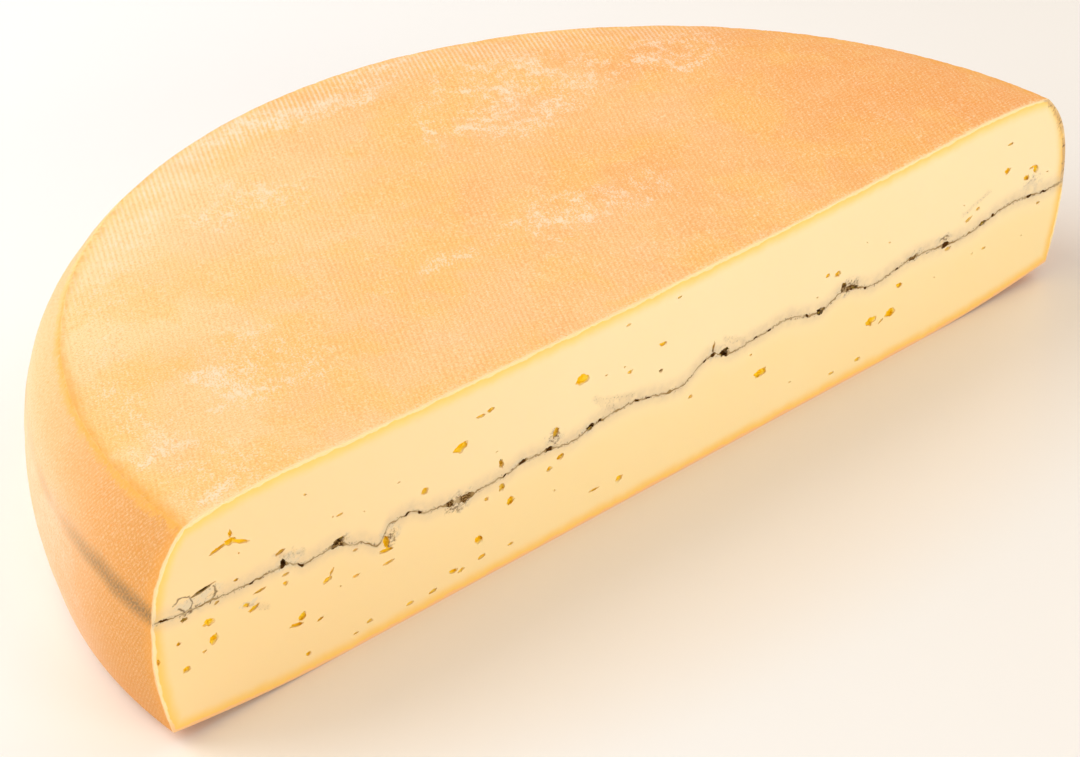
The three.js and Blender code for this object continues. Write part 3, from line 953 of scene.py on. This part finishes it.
def sideColour(f, look):
    side = f.mix(f.below.rise(8, 55) + (f.broad - 0.5) * 0.8, look["side"], look["sideLow"])
    nearCut = (1 - f.y.rise(0, 110)) * (0.35 + (0 - f.x).rise(0, 1) * 0.6)
    side = f.mix(nearCut + (f.middling - 0.5) * 0.3, side, look["sideDeep"])
    lighter = f.y.rise(15, 60) * (1 - f.y.rise(128, 150)) * f.below.rise(4, 22)
    side = f.mix(lighter * (0.2 + f.middling * 0.25), side, look["bloom"])
    side = f.mix(f.knots * 0.32 * f.threads.rise(0.35, 0.6), side, look["fleckAndHighlight"])
    pale = f.y.rise(14, 60) * f.below.rise(8, 24) * f.small.rise(0.3, 0.7) * f.middling.rise(0.3, 0.62)
    pale = pale * 0.3 + f.threads.rise(0.56, 0.7) * 0.2 + f.speck.rise(0.5, 0.66) * 0.12
    side = f.mix(pale, side, look["bloom"])
    side = f.mix(f.threads.rise(0.48, 0.32) * 0.42, side, look["groove"])
    return f.mix((1 - (f.y + (f.small - 0.5) * 4).rise(0.5, 6)) * 0.6, side, look["sideGold"])


def goldenCrease(f, look, side):
    ragged = (f.small - 0.5) * 5 + (f.grain - 0.5) * 2.5
    crease = 1 - (f.below + ragged).rise(0.3, 2.7)
    crease = crease * (0.85 + (f.small - 0.5) * 1.6 + (f.threads - 0.5) * 1.2)
    side = f.mix(crease * 0.95, side, f.mix(f.y.rise(80, 140), look["crease"], look["paleCrease"]))
    line = (f.below + ragged * 0.6).near(0.3, 0.9) * f.small.rise(0.38, 0.56)
    return f.mix(line * 0.7, side, look["sideGold"])


def ashOnSide(f, look, side):  # ash that shows through by the cut's two ends, and faintly round the back
    leftness = (0 - f.x).rise(0, 160)
    layer = leftness * (f.y * 0.045 + ashLine["rimRise"]) + ashLine["meanHeight"]
    overLayer = f.z - layer + (f.cloud(f.point, 14, 1) - 0.5) * 3
    left = (0 - f.x).rise(100, 140) * (1 - f.y.rise(4, 60)) ** 0.7
    smear = overLayer.near(0, 4.8) * left
    smear = smear * (0.25 + f.threads.rise(0.35, 0.6) * 0.4 + (1 - f.knots) * 0.2)
    trace = overLayer.near(0, 3.4) * f.cloud(f.point, 24, 2).rise(0.4, 0.64) * f.y.rise(20, 60)
    smear = smear.most(trace * f.threads.rise(0.3, 0.6) * 0.4)
    right = f.x.rise(150, 160) * (1 - f.y.rise(2, 12)) * f.z.rise(26, 36) * (1 - f.z.rise(56, 64))
    smear = smear.most(right * f.small.rise(0.3, 0.6) * 0.9)
    return f.mix(smear * 0.95, side, look["smear"])


def rindFinish():
    look = rindLook
    f = Finish("rindFinish")
    measureRind(f)
    weaveSide(f, look)
    top = bloomOnTop(f, look, clothOnTop(f, look, topColour(f, look)))
    side = ashOnSide(f, look, goldenCrease(f, look, sideColour(f, look)))
    colour = f.mix(f.onSide, top, side)
    colour = f.mix((1 - f.z.rise(0.3, 2.5)) * (1 - f.y.near(0, 1)), colour, look["under"])
    # the rind's cut edge: a pale line, partly pale crust and partly a painted highlight where the edge
    # catches light
    paleEdgeAndHighlight = (1 - (f.y + (f.small - 0.5) * 1.2).rise(0.3, 0.9)) * 0.85
    flaky = (1 - (f.y + (f.small - 0.5) * 5).rise(0.6, 2.4)) * (1 - f.onSide) * f.grain.rise(0.4, 0.6) * 0.5
    colour = f.mix(paleEdgeAndHighlight.most(flaky), colour, look["fleckAndHighlight"])

    height = f.ribs * (1 - f.onSide) * 0.08 + f.knots * f.onSide * 0.3
    height = height + f.small * 0.5 + f.dashes * 0.25 + f.threads * f.onSide * 0.3 + f.grain * 0.35
    return f.finish({
        "Base Color": colour, "Roughness": look["roughness"] + f.small * 0.2,
        "Normal": f.bump(height, 0.14, 0.5), "Specular IOR Level": 0.4,
    })


rind, paste, ash = rindFinish(), pasteFinish(), ashFinish()
print("finishes made")


def wear(piece, *materials):
    piece.data.materials.clear()
    for material in materials:
        piece.data.materials.append(material)


onlySlot, pasteSlot = 0, 1  # the ash layer wears one material, the other pieces wear rind and paste


def useSlot(piece, slot, chosen):
    for face in piece.data.polygons:
        if chosen(face):
            face.material_index = slot


def everyFace(face):
    return True


def wearPaste(piece):  # what it cuts then shows paste
    wear(piece, rind, paste)
    useSlot(piece, pasteSlot, everyFace)


def makeBody():
    side = spinSide()
    wear(side, rind, paste)
    roughenSide(side)
    cutThroughAxis(side)
    print("side", len(side.data.polygons), "faces")
    pressTop(side)
    print("top pressed", len(side.data.polygons), "faces")
    roundCutEdge(side)
    useSlot(side, pasteSlot, onCut)
    print("cut edge rounded", len(side.data.polygons), "faces")
    return side


def splitAtAsh(side):
    above = ashBlockAbove()
    wearPaste(above)
    upper = copyOf(side, "upperPaste")
    lower = copyOf(side, "lowerPaste")
    cutWith(upper, above, "INTERSECT")
    cutWith(lower, above, "DIFFERENCE")
    drop(above)
    print("halves", len(upper.data.polygons), len(lower.data.polygons), "faces")
    return upper, lower


def layAsh(side, halves):
    inner = copyOf(side, "innerBody")
    inner.scale = (ashGrid["reach"], ashGrid["reach"], 1)
    inner.location.y = cutY * (1 - ashGrid["reach"]) - ashGrid["through"] * mm
    settle(inner)
    slot = ashSheet()
    cutWith(slot, inner, "INTERSECT")
    layer = copyOf(slot, "ashLayer")
    cutWith(layer, side, "INTERSECT")
    wear(layer, ash)
    useSlot(layer, onlySlot, everyFace)
    wearPaste(slot)
    for half in halves:
        cutWith(half, slot, "DIFFERENCE")
    drop(inner, slot)
    print("ash", len(layer.data.polygons), "faces")
    return layer


def cutEyes(pieces):
    cutters = eyeCutters()
    for eye in cutters.objects:
        wearPaste(eye)
    for piece in pieces:
        cutWith(piece, cutters, "DIFFERENCE")
    drop(*cutters.objects)
    bpy.data.collections.remove(cutters)


side = makeBody()
upperPaste, lowerPaste = splitAtAsh(side)
ashLayer = layAsh(side, (upperPaste, lowerPaste))
drop(side)
cutEyes((upperPaste, lowerPaste, ashLayer))
for piece in (upperPaste, lowerPaste, ashLayer):
    pick(piece)
    bpy.ops.object.shade_smooth_by_angle(angle=math.radians(body["smoothAngle"]))
    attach(piece, "root")
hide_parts("upper_paste")
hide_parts("lower_paste")
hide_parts("ash_layer")


# Floor, light and camera
studio = {
    # floorShadedNear is the floor's painted shade towards the front right
    "floor": linear(255, 255, 255), "floorShadedNear": linear(245, 239, 231), "floorSize": 6000,
    "floorBounceTint": linear(248, 230, 208), "bounceTintPatch": (0, 0, 260, 95), "bounceTintShare": 0.5,  # painted warm bounce light and shadow tint round the cheese
    "sky": linear(255, 250, 244), "skyStrength": 0.44, "lightsAim": (0, 60, 30),
    # each light's place, size, power in watts and colour
    "lights": {
        "keyLight": ((-800, 1000, 1100), 1400, 18, (1, 0.985, 0.965)),
        "frontLight": ((200, -1750, 420), 1100, 16, (1, 0.985, 0.965)),
        "leftLight": ((-1500, 300, 900), 1200, 5, (1, 0.99, 0.98)),
        "rightLight": ((1500, 100, 800), 1200, 8, (1, 0.985, 0.97)),
    },
}
view = {
    "place": (-553.67, -527.61, 519.10), "aim": (-45.79, 0, 54.49), "roll": 0.593,
    "lens": 109.93, "sensor": 36, "farthest": 20,  # the last one in metres
}


def floorFinish():
    f = Finish("floorFinish")
    x, y, z, place = f.place()
    # painted shade: the floor darker towards the front right, as the light falls off
    shadedNearer = (x - y).rise(-420, 320)
    colour = f.mix(shadedNearer + (f.cloud(place, 300, 2) - 0.5) * 0.3, studio["floor"], studio["floorShadedNear"])
    # painted light: a warm tint round the cheese for light bounced off it
    colour = f.mix(patch(studio["bounceTintPatch"], x, y) * studio["bounceTintShare"], colour, studio["floorBounceTint"])
    return f.finish({"Base Color": colour, "Roughness": 0.32, "Specular IOR Level": 0.4})


def layFloor():
    bpy.ops.mesh.primitive_plane_add(size=studio["floorSize"] * mm, location=(0, 0, 0))
    floor = bpy.context.object
    floor.name = "floor"
    wear(floor, floorFinish())


def turnTo(thing, aim, roll=0):
    towards = (aim - thing.location).normalized()
    turn = towards.to_track_quat("-Z", "Y") @ Quaternion((0, 0, 1), math.radians(roll))
    thing.rotation_euler = turn.to_euler()


def hangLights():
    for name, (place, size, power, colour) in studio["lights"].items():
        bpy.ops.object.light_add(type="AREA", location=put(*place))
        light = bpy.context.object
        light.name = name
        light.data.shape = "DISK"
        light.data.size = size * mm
        light.data.energy = power
        light.data.color = colour
        turnTo(light, put(*studio["lightsAim"]))
    world = bpy.data.worlds.new("studioSky")
    bpy.context.scene.world = world
    world.use_nodes = True
    sky = world.node_tree.nodes["Background"]
    sky.inputs["Color"].default_value = studio["sky"]
    sky.inputs["Strength"].default_value = studio["skyStrength"]


def standCamera():
    bpy.ops.object.camera_add(location=put(*view["place"]))
    camera = bpy.context.object
    camera.name = "camera"
    camera.data.lens = view["lens"]
    camera.data.sensor_width = view["sensor"]
    camera.data.clip_end = view["farthest"]
    turnTo(camera, put(*view["aim"]), view["roll"])
    bpy.context.scene.camera = camera
    bpy.context.scene.view_settings.view_transform = "Standard"


layFloor()
hangLights()
standCamera()
print("studio set")
